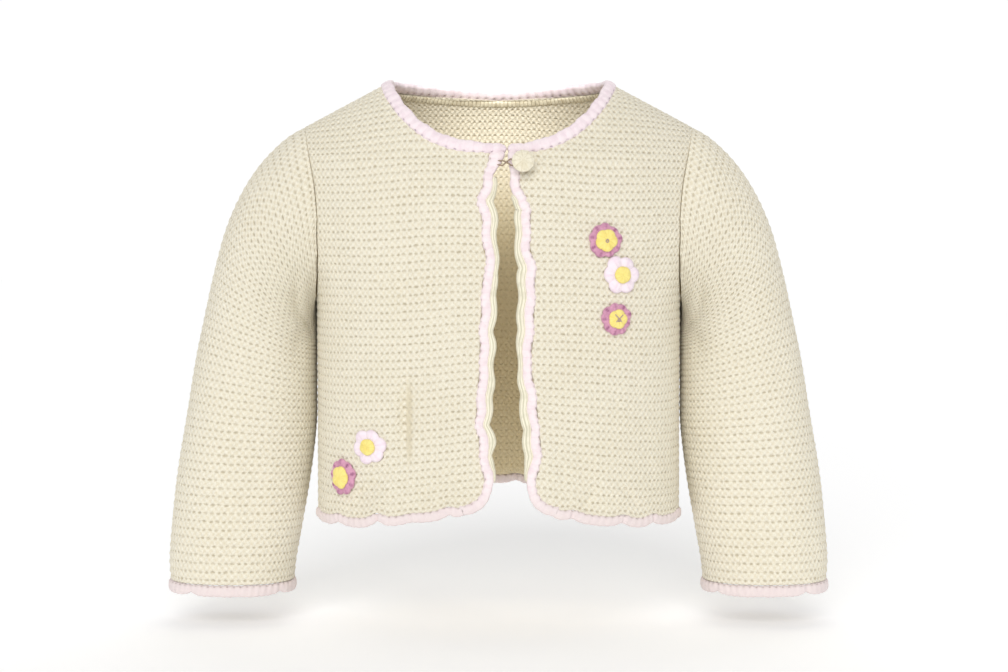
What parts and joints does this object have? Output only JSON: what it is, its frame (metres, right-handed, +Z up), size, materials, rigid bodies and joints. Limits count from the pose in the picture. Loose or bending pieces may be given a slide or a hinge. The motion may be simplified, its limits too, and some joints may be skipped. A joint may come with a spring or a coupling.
{
  "type": "baby cardigan",
  "caption": "Hollow baby cardigan in garter stitch, filled out as worn, with crochet edging, open front, neck button with thread loop, and crochet flowers.",
  "frame": {"origin": "midway between the two points where the neck meets the shoulders, where the wearer's neck and shoulders hold the garment", "axes": "+Z up, the front faces -Y, +X is the wearer's left"},
  "size_m": [0.3712, 0.1233, 0.2857],
  "materials": {
    "cream_knit": "matt soft yarn in garter stitch",
    "cream_strip": "matt soft yarn, ribs across",
    "pink_edging": "matt soft yarn in single crochet",
    "button": "yarn crocheted over a round core",
    "thread": "thin twisted thread",
    "mauve_petals": "matt crochet",
    "pale_petals": "matt crochet",
    "yellow_centres": "matt crochet"
  },
  "bodies": {
    "root": {"back": "cream_knit", "front_right": "cream_knit", "front_left": "cream_knit", "sleeve_right": "cream_knit", "sleeve_left": "cream_knit", "front_strip_right": "cream_strip", "front_strip_left": "cream_strip", "neck_edging": "pink_edging", "front_edging_right": "pink_edging", "front_edging_left": "pink_edging", "hem_edging_back": "pink_edging", "cuff_edging_right": "pink_edging", "cuff_edging_left": "pink_edging", "button": "button", "button_loop": "thread", "flower_chest_top_petals": "mauve_petals", "flower_chest_middle_petals": "pale_petals", "flower_chest_low_petals": "mauve_petals", "flower_hem_inner_petals": "pale_petals", "flower_hem_outer_petals": "mauve_petals", "flower_chest_top_centre": "yellow_centres", "flower_chest_middle_centre": "yellow_centres", "flower_chest_low_centre": "yellow_centres", "flower_hem_inner_centre": "yellow_centres", "flower_hem_outer_centre": "yellow_centres"}
  },
  "joints": []
}
